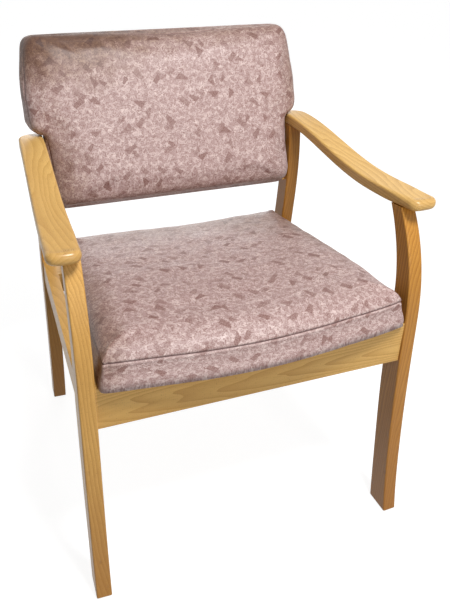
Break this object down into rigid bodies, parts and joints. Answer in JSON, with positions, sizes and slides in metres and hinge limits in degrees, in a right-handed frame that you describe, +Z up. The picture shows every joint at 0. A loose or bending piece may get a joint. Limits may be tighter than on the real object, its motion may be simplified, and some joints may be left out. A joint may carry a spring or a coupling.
{
  "type": "patient armchair",
  "caption": "Beech-framed patient armchair with S-curved armrests, a sloped bow-fronted seat pad and a raked back pad, both in wipe-clean vinyl, for a bedside or waiting room.",
  "frame": {"origin": "on the floor at the middle of the chair's plan box", "axes": "+Z up; +Y from the front of the chair to its back; +X to the right for someone who faces the chair's front; X = 0 is the mirror plane"},
  "size_m": [0.6488, 0.6416, 0.8335],
  "materials": {
    "beech": "satin clear lacquer over beech",
    "plywood": "unfinished plywood",
    "dowel": "unfinished beech dowel",
    "vinyl": "satin wipe-clean vinyl, dusty mauve with fine pale veins and small darker flecks",
    "fixings": "zinc-plated steel",
    "plastic": "dark brown moulded plastic"
  },
  "bodies": {
    "root": {"right_front_leg": "beech", "left_front_leg": "beech", "right_rear_leg": "beech", "left_rear_leg": "beech", "right_armrest": "beech", "left_armrest": "beech", "right_side_rail": "beech", "left_side_rail": "beech", "front_rail": "beech", "rear_rail": "beech", "back_rail": "beech", "right_front_corner_block": "beech", "left_front_corner_block": "beech", "right_rear_corner_block": "beech", "left_rear_corner_block": "beech", "seat_board": "plywood", "back_board": "plywood", "seat_cushion": "vinyl", "back_cushion": "vinyl", "back_outer_panel": "vinyl", "front_rail_dowels": "dowel", "rear_rail_dowels": "dowel", "back_rail_dowels": "dowel", "side_rail_dowels": "dowel", "armrest_dowels": "dowel", "corner_block_screws": "fixings", "seat_screws": "fixings", "back_rail_screws": "fixings", "back_bolts": "fixings", "back_spacers": "plastic", "leg_glides": "plastic"}
  },
  "joints": []
}
